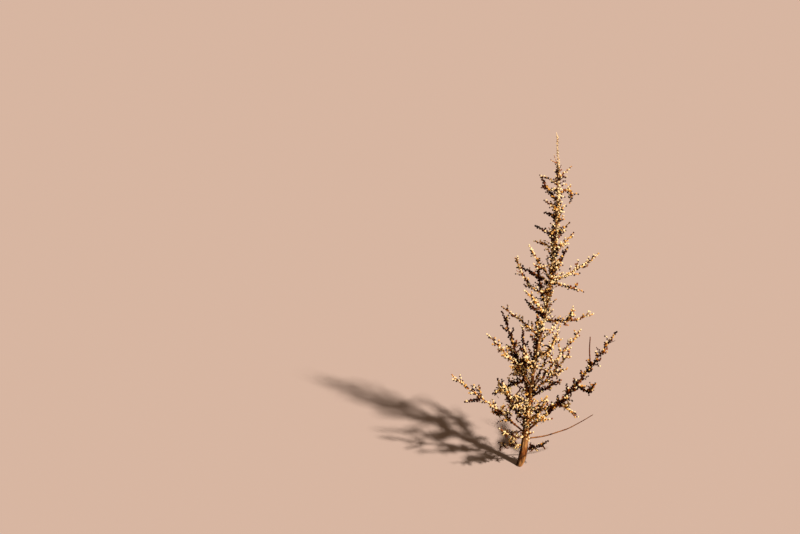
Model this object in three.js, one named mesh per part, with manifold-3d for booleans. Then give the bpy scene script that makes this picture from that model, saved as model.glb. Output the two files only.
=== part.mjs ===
// A dead desert shrublet, one season old and dried where it stood: one upright stem that runs through
// to the tip, nearly fifty side shoots round it, and seed clusters strung along every shoot and twig.
// Millimetres, +Z up. The origin is the middle of the flat cut under the stem; +Y runs away from the
// side that is seen first and +X to its right.
import * as THREE from "three";
import { mergeVertices } from "three/addons/utils/BufferGeometryUtils.js";
import Module from "manifold-3d";

const wasm = await Module();
wasm.setup();

// The stem.
const HEIGHT = 320; // ground to tip
const LEAN = 18; // the stem leans this far to the right on its way up
const LEAN_TURN = 0.77; // share of the height where the lean is used up and the stem turns upright
const SWAY = 3; // slight bow, away from the viewer and back
const FOOT_BEND = 4; // the foot comes out of the ground aslant, and takes the stem this far right
const FOOT_BEND_HEIGHT = 10;
const FOOT_RADIUS = 3.8;
const TIP_RADIUS = 0.4;
const TAPER = 3.4; // the stem thins fast low down, where the big shoots leave it
const FLARE = 0.3; // extra radius of the root flare at the cut
const FLARE_HEIGHT = 5;
const STEM_SIDES = 8;
const STEM_RINGS = 36;

// The side shoots.
const ARC_STEPS = 12;
const BOUGH_FROM = 55; // a shoot longer than this has a bare foot of its own, its bough
const BARE_SHARE = 0.16; // share of such a shoot that is bare
const BOUGH_SIDES = 6;
const SHOOT_RADIUS = 0.35; // radius at the foot of the shortest shoot
const SHOOT_THICKENING = 0.005; // added for each millimetre of shoot
const SHOOT_TIP = 0.3;

// Side twigs and seed clusters.
const TWIGS_PER_MM = 0.18;
const TWIG_SHARE = 0.23; // longest twig against its shoot
const LONGEST_TWIG = 16;
const SHORTEST_TWIG = 3;
const TWIG_STEPS = 4;
const TWIG_RADIUS = 0.38;
const TWIG_LIFT = 0.16; // how much a twig turns up at each step
const FORK_FROM = 10; // a twig longer than this carries a twiglet
const SIDES = 3;
const CLUSTER_RADIUS = 1.5;
const CLUSTER_PITCH = 6.5;
const STALKED_FROM = 7; // a twig shorter than this is one cluster with no stalk
const CLEAR = 0.3; // gap at every foot
const SPURS = 72; // short clusters that grow on the stem itself, between the shoots
const SPURS_FROM = 30;
const SPURS_TO = 318;
const SPUR_LOW = 6.4; // length of one below the middle of the stem, from the stem's axis
const SPUR_HIGH = 8; // and above it
const SPUR_TIP = 1.8; // and on the bare spire
const SPUR_GAP = 0.4;
const OWN_SPACE = 3.3; // two clusters and a gap: how far a twig keeps inside its shoot's own space
const GOLDEN_ANGLE = THREE.MathUtils.degToRad(137.5);
const SEED = 41;

// Every side shoot by its place up the stem, the way it points seen from above (0 is right, 90 away),
// its rise above level at the foot, how many degrees it bends up on its way, and its length.
const SHOOTS = [
  shoot("foot_right", 15, -20, 24, 22, 26),
  shoot("foot_left", 20, 190, 10, 10, 24),
  shoot("bare_right", 27, 0, 6, 34, 64),
  shoot("skirt_left", 29, 226, 24, 26, 46),
  shoot("low_left", 32, 183, 45, -2, 92),
  shoot("low_right", 33, 4, 46, 14, 123),
  shoot("skirt_right", 40, -30, 40, -14, 28),
  shoot("skirt_back", 43, 138, 30, 24, 46),
  shoot("low_front", 47, 285, 34, 30, 66),
  shoot("front_left", 54, 232, 38, 26, 66),
  shoot("low_back", 58, 95, 38, 25, 72),
  shoot("fill_right", 70, -8, 41, -8, 32),
  shoot("front_right", 72, -36, 54, 8, 66),
  shoot("steep_left", 72, 122, 50, 4, 75),
  shoot("back_right", 76, 48, 48, 12, 64),
  shoot("pale_right", 77, -2, 55, 4, 73),
  shoot("pale_left", 80, 203, 58, -8, 78),
  shoot("mid_front_left", 96, 248, 40, 26, 48),
  shoot("mid_back", 100, 84, 38, 20, 52),
  shoot("mid_front", 108, 300, 44, 20, 46),
  shoot("mid_right", 121, 40, 32, 18, 28),
  shoot("mid_left", 130, 168, 44, -16, 44),
  shoot("mid_fore", 137, 262, 30, 20, 42),
  shoot("hook_right", 148, -24, -2, 40, 45),
  shoot("rod_low", 150, 196, 46, 0, 26),
  shoot("rod_left", 153, 215, 54, -4, 36),
  shoot("rod_back", 160, 104, 40, 10, 40),
  shoot("up_left", 171, 174, 10, 84, 48),
  shoot("flat_left", 181, 152, 34, -36, 32),
  shoot("droop_right", 182, -40, 18, -18, 33),
  shoot("sweep_right", 183, 14, 14, 30, 47),
  shoot("lift_left", 185, 194, 57, 8, 40),
  shoot("lift_right", 189, 34, 50, 8, 28),
  shoot("upper_fore", 196, 272, 32, 16, 33),
  shoot("upper_back", 204, 88, 36, 12, 32),
  shoot("short_right", 213, 14, 43, 4, 21),
  shoot("short_left", 216, 164, 14, 4, 18),
  shoot("bent_left", 224, 196, 44, -10, 22),
  shoot("high_right", 228, -26, 52, 0, 16),
  shoot("high_back", 236, 78, 42, 0, 22),
  shoot("stub_left", 243, 176, 30, -8, 12),
  shoot("high_fore", 248, 260, 40, 0, 19),
  shoot("spur_left", 252, 202, 34, 10, 16),
  shoot("reach_left", 259, 176, 46, 20, 25),
  shoot("arch_right", 260, 38, 86, -225, 29),
  shoot("flag_left", 273, 170, 32, -8, 17),
  shoot("top_right", 279, 6, 58, -20, 14),
  shoot("top_back", 284, 95, 46, 0, 10),
  shoot("top_left", 292, 182, 32, 0, 7),
];
const BARE_SHOOTS = ["bare_right"]; // one that has lost its twigs and clusters

// Large forks of some shoots, with their place along the shoot.
const FORKS = [
  { ...shoot("fork_fore", 42, -50, -14, 14, 25), on: "low_right" },
  { ...shoot("fork_curl", 66, -60, -18, 84, 31), on: "low_right" },
  { ...shoot("fork_up", 84, 95, 72, 8, 27), on: "low_right", bare: true },
  { ...shoot("fork_left", 56, 215, 8, 4, 18), on: "low_left" },
  { ...shoot("fork_pale", 20, -6, 38, 0, 25), on: "front_right" },
  { ...shoot("fork_down", 13, 198, 0, -26, 32), on: "steep_left" },
  { ...shoot("fork_arch", 15, 190, 60, -96, 15), on: "pale_left" },
  { ...shoot("fork_hook", 22, -24, 80, 0, 14), on: "hook_right" },
];

const BARK = new THREE.MeshStandardMaterial({ color: 0x8b6142, roughness: 0.85, metalness: 0 });
const STRAW = new THREE.MeshStandardMaterial({ color: 0xc8a066, roughness: 0.9, metalness: 0 });
const GOLD = new THREE.MeshStandardMaterial({ color: 0xb98a45, roughness: 0.9, metalness: 0 });
const UMBER = new THREE.MeshStandardMaterial({ color: 0x7d5a38, roughness: 0.9, metalness: 0 });

// The sprays that dried golden, and those that turned dark; the others are straw.
const GOLD_SPRAYS = `foot_left skirt_right low_front front_right back_right mid_front hook_right
  droop_right upper_fore short_right high_fore arch_right`.split(/\s+/);
const UMBER_SPRAYS = `foot_right skirt_back low_back low_left low_right fill_right steep_left front_left
  mid_back rod_low rod_back flat_left lift_right upper_back bent_left high_back stub_left
  reach_left`.split(/\s+/);

function shoot(name, place, azimuth, rise, bend, length) {
  return { name, place, azimuth, rise, bend, length };
}

function tintOf(name) {
  if (GOLD_SPRAYS.includes(name)) return GOLD;
  return UMBER_SPRAYS.includes(name) ? UMBER : STRAW;
}

// Even numbers from 0 to 1 that come out the same on each run (the mulberry32 generator).
function randomStream(seed) {
  let state = seed | 0;
  return () => {
    state = (state + 0x6d2b79f5) | 0;
    let mixed = Math.imul(state ^ (state >>> 15), 1 | state);
    mixed = (mixed + Math.imul(mixed ^ (mixed >>> 7), 61 | mixed)) ^ mixed;
    return ((mixed ^ (mixed >>> 14)) >>> 0) / 4294967296;
  };
}

function stemAt(z) {
  const share = z / HEIGHT;
  const bend = FOOT_BEND * (1 - Math.exp(-z / FOOT_BEND_HEIGHT));
  const lean = (LEAN / 2) * (1 - Math.cos((Math.PI * share) / LEAN_TURN));
  return new THREE.Vector3(bend + lean, SWAY * Math.sin(1.6 * Math.PI * share), z);
}

function stemRadius(z) {
  const share = Math.min(Math.max(z / HEIGHT, 0), 1);
  const taper = TIP_RADIUS + (FOOT_RADIUS - TIP_RADIUS) * (1 - share) ** TAPER;
  return taper + FLARE * Math.exp(-z / FLARE_HEIGHT);
}

// The axis of a shoot: equal steps in one upright plane, each turned up a little more than the last.
function arc(start, { azimuth, rise, bend, length }) {
  const turn = THREE.MathUtils.degToRad(azimuth);
  const points = [start.clone()];
  for (let k = 0; k < ARC_STEPS; k += 1) {
    const up = THREE.MathUtils.degToRad(rise + (bend * (k + 0.5)) / ARC_STEPS);
    const level = Math.cos(up);
    const step = new THREE.Vector3(level * Math.cos(turn), level * Math.sin(turn), Math.sin(up));
    points.push(points[k].clone().addScaledVector(step, length / ARC_STEPS));
  }
  return points;
}

// The level direction across a shoot's upright plane.
function sideOf({ azimuth }) {
  const turn = THREE.MathUtils.degToRad(azimuth);
  return new THREE.Vector3(-Math.sin(turn), Math.cos(turn), 0);
}

// The point and the direction at a distance along a line of points.
function along(points, distance) {
  const step = points[0].distanceTo(points[1]);
  const k = Math.min(Math.max(Math.floor(distance / step), 0), points.length - 2);
  const direction = points[k + 1].clone().sub(points[k]).normalize();
  return { point: points[k].clone().addScaledVector(direction, distance - k * step), direction };
}

function distanceTo(points, p) {
  const line = new THREE.Line3();
  const near = new THREE.Vector3();
  let best = Infinity;
  for (let k = 0; k + 1 < points.length; k += 1) {
    line.set(points[k], points[k + 1]).closestPointToPoint(p, true, near);
    best = Math.min(best, near.distanceTo(p));
  }
  return best;
}

// A closed tube through the rings, each { point, direction, radius }. Each ring is turned by half a
// side from the one before, so that a swelling between two necks is an eight-faced bead.
function tube(rings, side, sides, twisted) {
  const geometry = new THREE.CylinderGeometry(1, 1, 1, sides, rings.length - 1);
  const at = geometry.attributes.position;
  const p = new THREE.Vector3();
  for (let i = 0; i < at.count; i += 1) {
    const k = Math.round((0.5 - at.getY(i)) * (rings.length - 1));
    const { point, direction, radius } = rings[k];
    const across = new THREE.Vector3().crossVectors(direction, side).normalize();
    const turn = twisted ? (k * Math.PI) / sides : 0;
    const x = at.getX(i) * Math.cos(turn) + at.getZ(i) * Math.sin(turn);
    const z = at.getZ(i) * Math.cos(turn) - at.getX(i) * Math.sin(turn);
    p.copy(point).addScaledVector(side, x * radius).addScaledVector(across, z * radius);
    at.setXYZ(i, p.x, p.y, p.z);
  }
  return solid(geometry);
}

function solid(geometry) {
  geometry.deleteAttribute("normal");
  geometry.deleteAttribute("uv");
  const merged = mergeVertices(geometry, 1e-4);
  const vertProperties = new Float32Array(merged.attributes.position.array);
  const triVerts = new Uint32Array(merged.index.array);
  return new wasm.Manifold(new wasm.Mesh({ numProp: 3, vertProperties, triVerts }));
}

function mesh(name, body, material, foot) {
  const { vertProperties, triVerts } = body.getMesh();
  const geometry = new THREE.BufferGeometry();
  geometry.setAttribute("position", new THREE.BufferAttribute(vertProperties, 3));
  geometry.setIndex(new THREE.BufferAttribute(triVerts, 1));
  geometry.translate(-foot.x, -foot.y, -foot.z);
  const made = new THREE.Mesh(geometry, material);
  made.name = name;
  made.position.copy(foot);
  return made;
}

// The stem, and a copy of it fattened by the gap that every shoot keeps to it.
function stemTube(extra) {
  const rings = [];
  for (let k = 0; k <= STEM_RINGS; k += 1) {
    const z = (HEIGHT * k) / STEM_RINGS;
    const direction = stemAt(z + 1).sub(stemAt(z - 1)).normalize();
    if (k === 0) direction.set(0, 0, 1);
    rings.push({ point: stemAt(z), direction, radius: stemRadius(z) + extra });
  }
  return tube(rings, new THREE.Vector3(0, 1, 0), STEM_SIDES, false);
}

const STEM_LINE = Array.from({ length: 65 }, (_, k) => stemAt((HEIGHT * k) / 64));

// Every shoot with its axes: its own, and those of its forks.
const shoots = SHOOTS.map((row) => {
  const bare = row.length > BOUGH_FROM ? BARE_SHARE * row.length : 0;
  const limbs = [{ ...row, axis: arc(stemAt(row.place), row), from: bare }];
  for (const fork of FORKS.filter((one) => one.on === row.name)) {
    const start = along(limbs[0].axis, fork.place).point;
    limbs.push({ ...fork, axis: arc(start, fork), from: 0 });
  }
  return { ...row, bare, limbs };
});

// Short clusters on the stem itself, pointing out and up between the shoots. One that would touch a
// shoot is turned round the stem until it is clear, and left out where there is no room.
function growSpurs() {
  const random = randomStream(SEED);
  const clear = SHOOT_RADIUS + SHOOT_THICKENING * BOUGH_FROM + CLEAR;
  const grown = [];
  for (let n = 0; n < SPURS; n += 1) {
    const z = SPURS_FROM + ((SPURS_TO - SPURS_FROM) * (n + 0.8 * random())) / SPURS;
    const rising = THREE.MathUtils.smoothstep(z, 150, 200);
    const spire = THREE.MathUtils.smoothstep(z, 265, 300);
    const reach = THREE.MathUtils.lerp(SPUR_LOW, SPUR_HIGH, rising);
    const length = THREE.MathUtils.lerp(reach, SPUR_TIP, spire) * (0.75 + 0.25 * random());
    const width = THREE.MathUtils.lerp(0.85, 0.5, spire) * CLUSTER_RADIUS;
    const up = THREE.MathUtils.degToRad(20 + 30 * random() + 25 * spire);
    for (let attempt = 0; attempt < 10; attempt += 1) {
      const turn = n * GOLDEN_ANGLE + 0.6 * attempt;
      const level = Math.cos(up);
      const heading = new THREE.Vector3(level * Math.cos(turn), level * Math.sin(turn), Math.sin(up));
      const line = [0, 0.5, 1].map((share) => stemAt(z).addScaledVector(heading, share * length));
      const touches = (points, p) => distanceTo(points, p) < width + clear;
      if (shoots.some((one) => line.slice(1).some((p) => touches(one.limbs[0].axis, p)))) continue;
      const meets = (p) => grown.some((other) => distanceTo(other.line, p) < width + SPUR_GAP);
      if (line.slice(1).some(meets)) continue;
      grown.push({ line, heading, length, width });
      break;
    }
  }
  return grown;
}

const spurs = growSpurs();

function limbRadius(limb, distance) {
  const foot = SHOOT_RADIUS + SHOOT_THICKENING * limb.length;
  return foot + ((SHOOT_TIP - foot) * distance) / limb.length;
}

// A point is in a shoot's own space where it is nearer to that shoot than to any other by OWN_SPACE.
function inOwnSpace(p, owner) {
  if (p.z < OWN_SPACE) return false;
  if (distanceTo(STEM_LINE, p) < stemRadius(p.z) + CLUSTER_RADIUS + CLEAR) return false;
  if (spurs.some((spur) => distanceTo(spur.line, p) < CLUSTER_RADIUS + spur.width + CLEAR)) return false;
  const own = Math.min(...owner.limbs.map((limb) => distanceTo(limb.axis, p)));
  return shoots.every(
    (other) => other === owner || other.limbs.every((limb) => distanceTo(limb.axis, p) > own + OWN_SPACE)
  );
}

// Clusters strung on a line from one distance along it to another, end to end.
function clusterString(path, from, length, neck, side, fits, random) {
  const count = Math.max(Math.round((length - from) / CLUSTER_PITCH), 1);
  const pitch = (length - from) / count;
  const rings = [{ ...along(path, from), radius: neck(from) }];
  for (let n = 0; n < count; n += 1) {
    const middle = from + (n + 0.5) * pitch;
    const end = from + (n + 1) * pitch;
    const swell = CLUSTER_RADIUS * (0.8 + 0.2 * random());
    const at = along(path, middle);
    rings.push({ ...at, radius: fits(at.point) ? swell : neck(middle) });
    rings.push({ ...along(path, end), radius: neck(end) });
  }
  return tube(rings, side, SIDES, true);
}

// A twig's line: it leaves along its direction, turns up a little at each step, and ends where it
// would leave its shoot's own space.
function twigLine(start, direction, length, fits) {
  const points = [start.clone()];
  const heading = direction.clone();
  for (let k = 0; k < TWIG_STEPS; k += 1) {
    heading.z += TWIG_LIFT;
    heading.normalize();
    const next = points[k].clone().addScaledVector(heading, length / TWIG_STEPS);
    if (!fits(next)) break;
    points.push(next);
  }
  return points;
}

// The side twigs of one limb, set round it by the golden angle.
function sideTwigs(limb, owner, seed) {
  const random = randomStream(seed);
  const fits = (p) => inOwnSpace(p, owner);
  const count = Math.max(Math.round(TWIGS_PER_MM * limb.length - 1), 0);
  const longest = Math.min(2 + TWIG_SHARE * limb.length, LONGEST_TWIG);
  const side = sideOf(limb);
  const twigs = [];
  for (let n = 0; n < count; n += 1) {
    const share = (n + 0.5 + 0.6 * (random() - 0.5)) / count;
    const turn = n * GOLDEN_ANGLE + 1.2 * (random() - 0.5);
    const spread = THREE.MathUtils.degToRad(38 + 24 * random());
    const length = longest * (1 - 0.6 * share) * (0.55 + 0.45 * random());
    const naked = random() < 0.1;
    const forkTurn = random() < 0.5 ? 1 : -1;
    const forkShare = 0.45 + 0.2 * random();
    const reach = limb.from + (limb.length - limb.from) * (0.05 + 0.86 * share);
    const { point, direction } = along(limb.axis, reach);
    const over = new THREE.Vector3().crossVectors(direction, side);
    const radial = side.clone().multiplyScalar(Math.cos(turn)).addScaledVector(over, Math.sin(turn));
    const heading = direction.clone().multiplyScalar(Math.cos(spread));
    heading.addScaledVector(radial, Math.sin(spread));
    const line = twigLine(point, heading, length, fits);
    const grown = ((line.length - 1) * length) / TWIG_STEPS;
    if (grown < SHORTEST_TWIG) continue;
    twigs.push({ line, length: grown, naked });
    if (grown < FORK_FROM) continue;
    const base = along(line, 0.4 * grown);
    const aside = new THREE.Vector3().crossVectors(base.direction, radial).normalize();
    const forkHeading = base.direction.clone().multiplyScalar(0.7).addScaledVector(aside, 0.7 * forkTurn);
    const fork = twigLine(base.point, forkHeading.normalize(), forkShare * grown, fits);
    const forkLength = ((fork.length - 1) * forkShare * grown) / TWIG_STEPS;
    if (forkLength >= SHORTEST_TWIG) twigs.push({ line: fork, length: forkLength, naked: false });
  }
  return twigs;
}

// A cluster that sits on its twig or shoot, its inner end on the axis there.
function lonelyCluster(foot, direction, length, width = 0.85 * CLUSTER_RADIUS) {
  const bead = new THREE.OctahedronGeometry(1, 0);
  bead.scale(width, width, length / 2);
  const turned = new THREE.Quaternion().setFromUnitVectors(new THREE.Vector3(0, 0, 1), direction);
  const centre = foot.clone().addScaledVector(direction, length / 2);
  bead.applyQuaternion(turned).translate(centre.x, centre.y, centre.z);
  return solid(bead);
}

function twigSolid({ line, length, naked }, fits, random) {
  const first = along(line, 0);
  const side = new THREE.Vector3().crossVectors(first.direction, new THREE.Vector3(0, 0, 1));
  if (side.length() < 0.01) side.set(1, 0, 0);
  side.normalize();
  if (length < STALKED_FROM) return lonelyCluster(first.point, first.direction, length);
  if (!naked) return clusterString(line, 0, length, () => TWIG_RADIUS, side, fits, random);
  const rings = line.map((point, k) => ({
    point,
    direction: along(line, (k * length) / (line.length - 1) - 0.01).direction,
    radius: TWIG_RADIUS * (1 - 0.5 * (k / (line.length - 1))),
  }));
  return tube(rings, side, SIDES, true);
}

// The bare foot of a long shoot, or the whole of a shoot that has lost its twigs.
function boughSolid(owner, whole) {
  const [limb] = owner.limbs;
  const end = whole ? owner.length : owner.bare;
  const count = whole ? ARC_STEPS : 4;
  const rings = Array.from({ length: count + 1 }, (_, k) => {
    const distance = (end * k) / count;
    return { ...along(limb.axis, distance), radius: limbRadius(limb, distance) };
  });
  return tube(rings, sideOf(limb), BOUGH_SIDES, false).subtract(fatStem);
}

const plant = new THREE.Group();
const fatStem = stemTube(CLEAR);
const stem = spurs.reduce(
  (body, spur) => body.add(lonelyCluster(spur.line[0], spur.heading, spur.length, spur.width)),
  stemTube(0)
);
plant.add(mesh("stem", stem, BARK, stemAt(0)));

shoots.forEach((owner, index) => {
  const foot = stemAt(owner.place);
  const fits = (p) => inOwnSpace(p, owner);
  const bareOnly = BARE_SHOOTS.includes(owner.name);
  if (owner.bare > 0) plant.add(mesh("bough_" + owner.name, boughSolid(owner, bareOnly), BARK, foot));
  if (bareOnly) return;

  const random = randomStream(SEED * 2000 + index);
  const pieces = [];
  owner.limbs.forEach((limb, fork) => {
    const from = fork === 0 && owner.bare > 0 ? owner.bare + CLEAR : 0;
    const neck = (distance) => limbRadius(limb, distance);
    const beaded = limb.bare ? () => false : fits;
    pieces.push(clusterString(limb.axis, from, limb.length, neck, sideOf(limb), beaded, random));
    if (limb.bare) return;
    const twigs = sideTwigs(limb, owner, SEED * 1000 + 10 * index + fork);
    pieces.push(...twigs.map((twig) => twigSolid(twig, fits, random)));
  });
  const spray = pieces.reduce((body, piece) => body.add(piece)).subtract(fatStem);
  plant.add(mesh("spray_" + owner.name, spray, tintOf(owner.name), foot));
});

export default plant;
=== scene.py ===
"""A dead desert shrublet, one season old and dried where it stood: bark on the stem and the boughs,
every twig down to the finest, the dry leaves, and the husks strung along the twigs."""
import math

import bpy
import numpy as np
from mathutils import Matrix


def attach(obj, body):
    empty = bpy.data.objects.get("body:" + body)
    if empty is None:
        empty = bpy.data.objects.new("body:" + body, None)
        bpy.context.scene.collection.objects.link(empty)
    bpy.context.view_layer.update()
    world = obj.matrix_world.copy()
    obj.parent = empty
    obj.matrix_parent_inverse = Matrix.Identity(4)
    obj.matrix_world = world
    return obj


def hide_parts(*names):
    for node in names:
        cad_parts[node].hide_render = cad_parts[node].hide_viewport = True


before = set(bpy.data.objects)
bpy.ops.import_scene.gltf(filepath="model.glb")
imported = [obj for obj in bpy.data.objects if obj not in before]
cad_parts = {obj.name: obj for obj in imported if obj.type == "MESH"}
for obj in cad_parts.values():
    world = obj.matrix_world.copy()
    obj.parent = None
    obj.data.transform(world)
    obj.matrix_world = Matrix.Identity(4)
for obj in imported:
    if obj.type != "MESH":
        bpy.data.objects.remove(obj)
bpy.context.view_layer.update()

# The stem
# The real stem is one season's wood: straight grained, ribbed, and split along the grain as it dried,
# with bark flaked off in places and a collar at the foot of each shoot. It stands on a flat cut at
# the ground, runs through to the thin spire and carries all the rest. Lengths are in millimetres.
MM = 0.001
HEIGHT = 320.0
LEAN = 18.0
LEAN_TURN = 0.77
SWAY = 3.0
SWAY_HALF_WAVES = 1.6
FOOT_BEND = 4.0
FOOT_BEND_HEIGHT = 10.0
FOOT_RADIUS = 3.8
TIP_RADIUS = 0.4
TIP_ROUNDING = 3.0
TAPER = 3.4
FLARE = 0.3
FLARE_HEIGHT = 5.0
SEED = 41
STEM_ROWS = 520
STEM_SIDES = 48
RIBS = 9
# Two waves of ribs: how many round, their share of the radius, and their twist in each millimetre.
RIB_WAVES = ((RIBS, 0.045, 0.02), (RIBS - 4, 0.03, -0.013))
GRAIN_SHARE = 0.018
SPLIT_DEPTH = 0.42
FLAKE_DEPTH = 0.13
WORN_AWAY = 1.3
WORN_TO = 5.0
COLLAR_SHARE = 1.1
COLLAR_DINT = 0.35
WANDER = 0.55
WANDER_FROM = 12.0
WANDER_FULL = 70.0
WANDER_WAVES = (52.0, 31.0, 19.0, 12.0)
# This points towards the key light: surfaces facing it get painted highlight and those turned away get
# painted shade.
KEY_LIGHT_SIDE = np.array([0.36, -0.27, 0.89])

# Every side shoot: place up the stem, direction seen from above (0 is right, 90 away), rise above
# level at its foot, degrees that it bends up on its way, length.
SHOOTS = {
    "foot_right": (15, -20, 24, 22, 26),
    "foot_left": (20, 190, 10, 10, 24),
    "bare_right": (27, 0, 6, 34, 64),
    "skirt_left": (29, 226, 24, 26, 46),
    "low_left": (32, 183, 45, -2, 92),
    "low_right": (33, 4, 46, 14, 123),
    "skirt_right": (40, -30, 40, -14, 28),
    "skirt_back": (43, 138, 30, 24, 46),
    "low_front": (47, 285, 34, 30, 66),
    "front_left": (54, 232, 38, 26, 66),
    "low_back": (58, 95, 38, 25, 72),
    "fill_right": (70, -8, 41, -8, 32),
    "front_right": (72, -36, 54, 8, 66),
    "steep_left": (72, 122, 50, 4, 75),
    "back_right": (76, 48, 48, 12, 64),
    "pale_right": (77, -2, 55, 4, 73),
    "pale_left": (80, 203, 58, -8, 78),
    "mid_front_left": (96, 248, 40, 26, 48),
    "mid_back": (100, 84, 38, 20, 52),
    "mid_front": (108, 300, 44, 20, 46),
    "mid_right": (121, 40, 32, 18, 28),
    "mid_left": (130, 168, 44, -16, 44),
    "mid_fore": (137, 262, 30, 20, 42),
    "hook_right": (148, -24, -2, 40, 45),
    "rod_low": (150, 196, 46, 0, 26),
    "rod_left": (153, 215, 54, -4, 36),
    "rod_back": (160, 104, 40, 10, 40),
    "up_left": (171, 174, 10, 84, 48),
    "flat_left": (181, 152, 34, -36, 32),
    "droop_right": (182, -40, 18, -18, 33),
    "sweep_right": (183, 14, 14, 30, 47),
    "lift_left": (185, 194, 57, 8, 40),
    "lift_right": (189, 34, 50, 8, 28),
    "upper_fore": (196, 272, 32, 16, 33),
    "upper_back": (204, 88, 36, 12, 32),
    "short_right": (213, 14, 43, 4, 21),
    "short_left": (216, 164, 14, 4, 18),
    "bent_left": (224, 196, 44, -10, 22),
    "high_right": (228, -26, 52, 0, 16),
    "high_back": (236, 78, 42, 0, 22),
    "stub_left": (243, 176, 30, -8, 12),
    "high_fore": (248, 260, 40, 0, 19),
    "spur_left": (252, 202, 34, 10, 16),
    "reach_left": (259, 176, 46, 20, 25),
    "arch_right": (260, 38, 86, -225, 29),
    "flag_left": (273, 170, 32, -8, 17),
    "top_right": (279, 6, 58, -20, 14),
    "top_back": (284, 95, 46, 0, 10),
    "top_left": (292, 182, 32, 0, 7),
}
SHOOT_RADIUS = 0.35
SHOOT_THICKENING = 0.005
SHOOT_TIP = 0.3


def stem_at(z):
    """The stem's axis at a height: an exponential bend to the right at the foot, half a cosine wave to
    the right, which turns back at LEAN_TURN of the height, and a slow sine wave away and back."""
    share = z / HEIGHT
    bend = FOOT_BEND * (1 - np.exp(-share * HEIGHT / FOOT_BEND_HEIGHT))
    lean = LEAN / 2 * (1 - np.cos(np.pi * share / LEAN_TURN))
    away = SWAY * np.sin(SWAY_HALF_WAVES * np.pi * share)
    return np.stack([bend + lean, away, share * HEIGHT], -1)


def stem_radius(z):
    """The tip's radius plus the rest of the foot's by a power of the height left, and the flare, an
    exponential that dies out above the cut."""
    share = np.clip(z / HEIGHT, 0, 1)
    taper = TIP_RADIUS + (FOOT_RADIUS - TIP_RADIUS) * (1 - share) ** TAPER
    return taper + FLARE * np.exp(-z / FLARE_HEIGHT)


def limb_radius(length, distance):
    """From the shoot's foot, which is thicker on a longer shoot, evenly down to its tip."""
    foot = SHOOT_RADIUS + SHOOT_THICKENING * length
    return foot + (SHOOT_TIP - foot) * distance / length


def smoothstep(value, low, high):
    """0 below low, 1 above high, and an even S between."""
    share = np.clip((value - low) / (high - low), 0, 1)
    return share * share * (3 - 2 * share)


def wandering(points):
    """Points moved by sine waves of their place, four to each direction, so that what grows straight
    runs a little crooked. The move grows from nothing near the ground."""
    random = np.random.default_rng(SEED)
    moved = np.array(points, float)
    full = WANDER * smoothstep(moved[..., 2], WANDER_FROM, WANDER_FULL)
    shift = np.zeros_like(moved)
    for wavelength in WANDER_WAVES:
        course = random.normal(size=(3, 3))
        course *= 2 * np.pi / wavelength / np.linalg.norm(course, axis=0)
        phase = random.uniform(0, 2 * np.pi, 3)
        shift += np.sin(moved @ course + phase) * (wavelength / WANDER_WAVES[0]) ** 0.6
    return moved + full[..., None] * shift


def waves(height, turn, seed, count, most_round, shortest):
    """A wrinkled field from about -1 to 1 on a stem: a count of cosines, each of whole turns round it,
    most_round at most, and of the height, where none is shorter than shortest."""
    random = np.random.default_rng(seed)
    field = np.zeros(np.broadcast(height, turn).shape)
    for _ in range(count):
        across = random.integers(1, most_round + 1)
        rate = random.uniform(-2, 2) * np.pi / shortest
        field += np.cos(across * turn + rate * height + random.uniform(0, 2 * np.pi))
    return field / math.sqrt(count)


def splits(height, turn, ribs, seed):
    """How deep in a drying crack a place is, 0 to 1: narrow valleys where a sine round the stem is
    zero, drifting with the height, open only where a slow field is high."""
    drift = 0.5 * waves(height, 0 * turn, seed, 5, 1, 46.0)
    wobble = 0.35 * waves(height, turn, seed + 1, 6, 3, 20.0)
    valley = (1 - np.abs(np.sin(ribs * turn / 2 + drift + wobble))) ** 7
    return valley * smoothstep(waves(height, turn, seed + 2, 9, 4, 18.0), -0.35, 0.5)


def stem_surface(rows, sides):
    """Height and turn to a point, with how deep it lies in a split and how far the bark has flaked
    there. The radius is the taper with rounded ribs and fine grain, less the splits, the flakes and
    what has worn off near the cut, plus a collar like a bell curve at each shoot, with a dint below."""
    height = np.linspace(0, HEIGHT, rows)[:, None]
    turn = np.linspace(0, 2 * np.pi, sides, endpoint=False)[None, :]
    base = stem_radius(height)
    ribbed = sum(share * np.cos(count * turn + twist * height) for count, share, twist in RIB_WAVES)
    grain = GRAIN_SHARE * waves(height, turn, SEED + 3, 14, 27, 9.0)
    split = splits(height, turn, RIBS, SEED + 4)
    flaked = smoothstep(waves(height, turn, SEED + 8, 10, 5, 15.0), 0.75, 0.9)
    depth = np.minimum(base / FOOT_RADIUS, 1)
    radius = base * (1 + ribbed + grain) - depth * (SPLIT_DEPTH * split + FLAKE_DEPTH * flaked)
    radius = radius - WORN_AWAY * np.exp(-height / WORN_TO)
    for place, azimuth, _, _, length in SHOOTS.values():
        shoot_radius = limb_radius(length, 0)
        aside = base * np.angle(np.exp(1j * (turn - math.radians(azimuth))))
        above = height - place
        width = 0.6 + 1.5 * shoot_radius
        radius = radius + COLLAR_SHARE * shoot_radius * np.exp(-(above ** 2 + aside ** 2) / width ** 2)
        below = above + 2.6 * width
        radius = radius - COLLAR_DINT * depth * np.exp(-(below ** 2 + 0.5 * aside ** 2) / 0.5)
    radius = radius * (0.25 + 0.75 * np.sqrt(smoothstep(HEIGHT - height, -0.1, TIP_ROUNDING)))
    ring = np.stack([radius * np.cos(turn), radius * np.sin(turn), 0 * radius], -1)
    return wandering(stem_at(height)) + ring, split, flaked


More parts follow.
